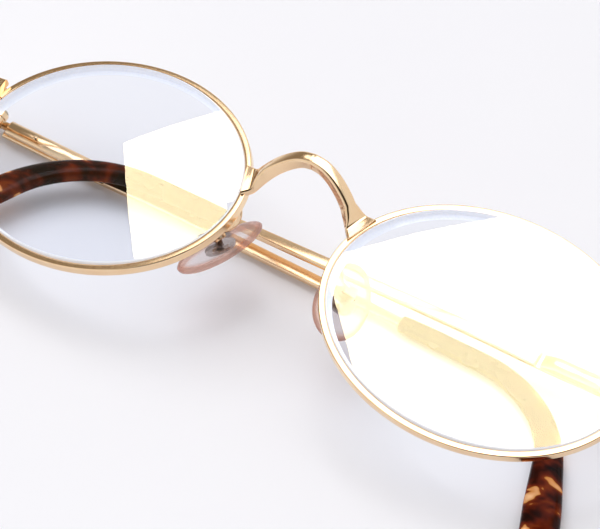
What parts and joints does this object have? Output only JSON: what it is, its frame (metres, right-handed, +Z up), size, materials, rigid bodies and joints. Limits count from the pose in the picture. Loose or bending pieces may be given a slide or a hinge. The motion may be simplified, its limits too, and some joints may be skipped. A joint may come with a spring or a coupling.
{
  "type": "eyeglasses",
  "caption": "Folded metal eyeglasses with oval full rims, a high saddle bridge, silicone nose pads, spring hinges and tortoiseshell temple tips",
  "frame": {"origin": "middle of the bounding box's underside: the surface that the folded glasses lie on", "axes": "+X along the straight part of the right temple, from its hinge to its tip, +Y towards the brow side of the front, +Z up, the way the lenses face"},
  "size_m": [0.1254, 0.0502, 0.0261],
  "materials": {
    "gold": "polished pale gold plate over nickel alloy",
    "screw_steel": "satin",
    "spring_steel": "satin",
    "pad_metal": "dark satin",
    "lens": "clear, polished",
    "silicone": "clear, glossy",
    "tortoiseshell": "polished mottled brown and amber acetate"
  },
  "bodies": {
    "right_temple": {"right_temple": "gold", "right_temple_tip": "tortoiseshell", "right_spring_housing": "gold", "right_spring_bush": "spring_steel", "right_dimple_pin": "gold", "right_hinge_spring": "spring_steel"},
    "right_slider": {"right_spring_slider": "spring_steel"},
    "front": {"bridge": "gold", "right_rim": "gold", "right_lens": "lens", "right_end_piece": "gold", "right_rim_lock_upper": "gold", "right_rim_lock_lower": "gold", "right_rim_lock_screw": "screw_steel", "right_hinge_lugs": "gold", "right_hinge_screw": "screw_steel", "right_pad_arm": "gold", "right_pad_box": "gold", "right_pad_screw": "screw_steel", "left_rim": "gold", "left_lens": "lens", "left_end_piece": "gold", "left_rim_lock_upper": "gold", "left_rim_lock_lower": "gold", "left_rim_lock_screw": "screw_steel", "left_hinge_lugs": "gold", "left_hinge_screw": "screw_steel", "left_pad_arm": "gold", "left_pad_box": "gold", "left_pad_screw": "screw_steel"},
    "left_slider": {"left_spring_slider": "spring_steel"},
    "left_temple": {"left_temple": "gold", "left_temple_tip": "tortoiseshell", "left_spring_housing": "gold", "left_spring_bush": "spring_steel", "left_dimple_pin": "gold", "left_hinge_spring": "spring_steel"},
    "right_pad": {"right_nose_pad": "silicone", "right_pad_core": "pad_metal"},
    "left_pad": {"left_nose_pad": "silicone", "left_pad_core": "pad_metal"}
  },
  "joints": [
    {"name": "right_spring_travel", "type": "slide", "parent": "right_temple", "child": "right_slider", "axis": [-1, 0, 0], "range_m": [0, 0.0012], "stiffness_N_per_m": 900, "springref_m": -0.003, "deforming": ["right_hinge_spring"]},
    {"name": "right_temple_fold", "type": "hinge", "parent": "right_slider", "child": "front", "pos_m": [-0.05941, 0.01218, 0.00256], "axis": [0.0332, -0.9698, -0.2418], "range_deg": [0, 95]},
    {"name": "left_temple_fold", "type": "hinge", "parent": "front", "child": "left_slider", "pos_m": [0.0595, 0.01538, 0.00606], "axis": [0.0332, -0.9698, -0.2418], "range_deg": [0, 95]},
    {"name": "left_spring_travel", "type": "slide", "parent": "left_slider", "child": "left_temple", "axis": [-0.9994, -0.0329, -0.0051], "range_m": [0, 0.0012], "stiffness_N_per_m": 900, "springref_m": -0.003, "deforming": ["left_hinge_spring"]},
    {"name": "right_pad_rock", "type": "hinge", "parent": "front", "child": "right_pad", "pos_m": [-0.01139, 0.00377, 0.01114], "axis": [0.8607, -0.1933, 0.471], "range_deg": [-8, 8]},
    {"name": "left_pad_rock", "type": "hinge", "parent": "front", "child": "left_pad", "pos_m": [0.01158, 0.00439, 0.01181], "axis": [-0.8752, -0.2399, 0.42], "range_deg": [-8, 8]}
  ]
}
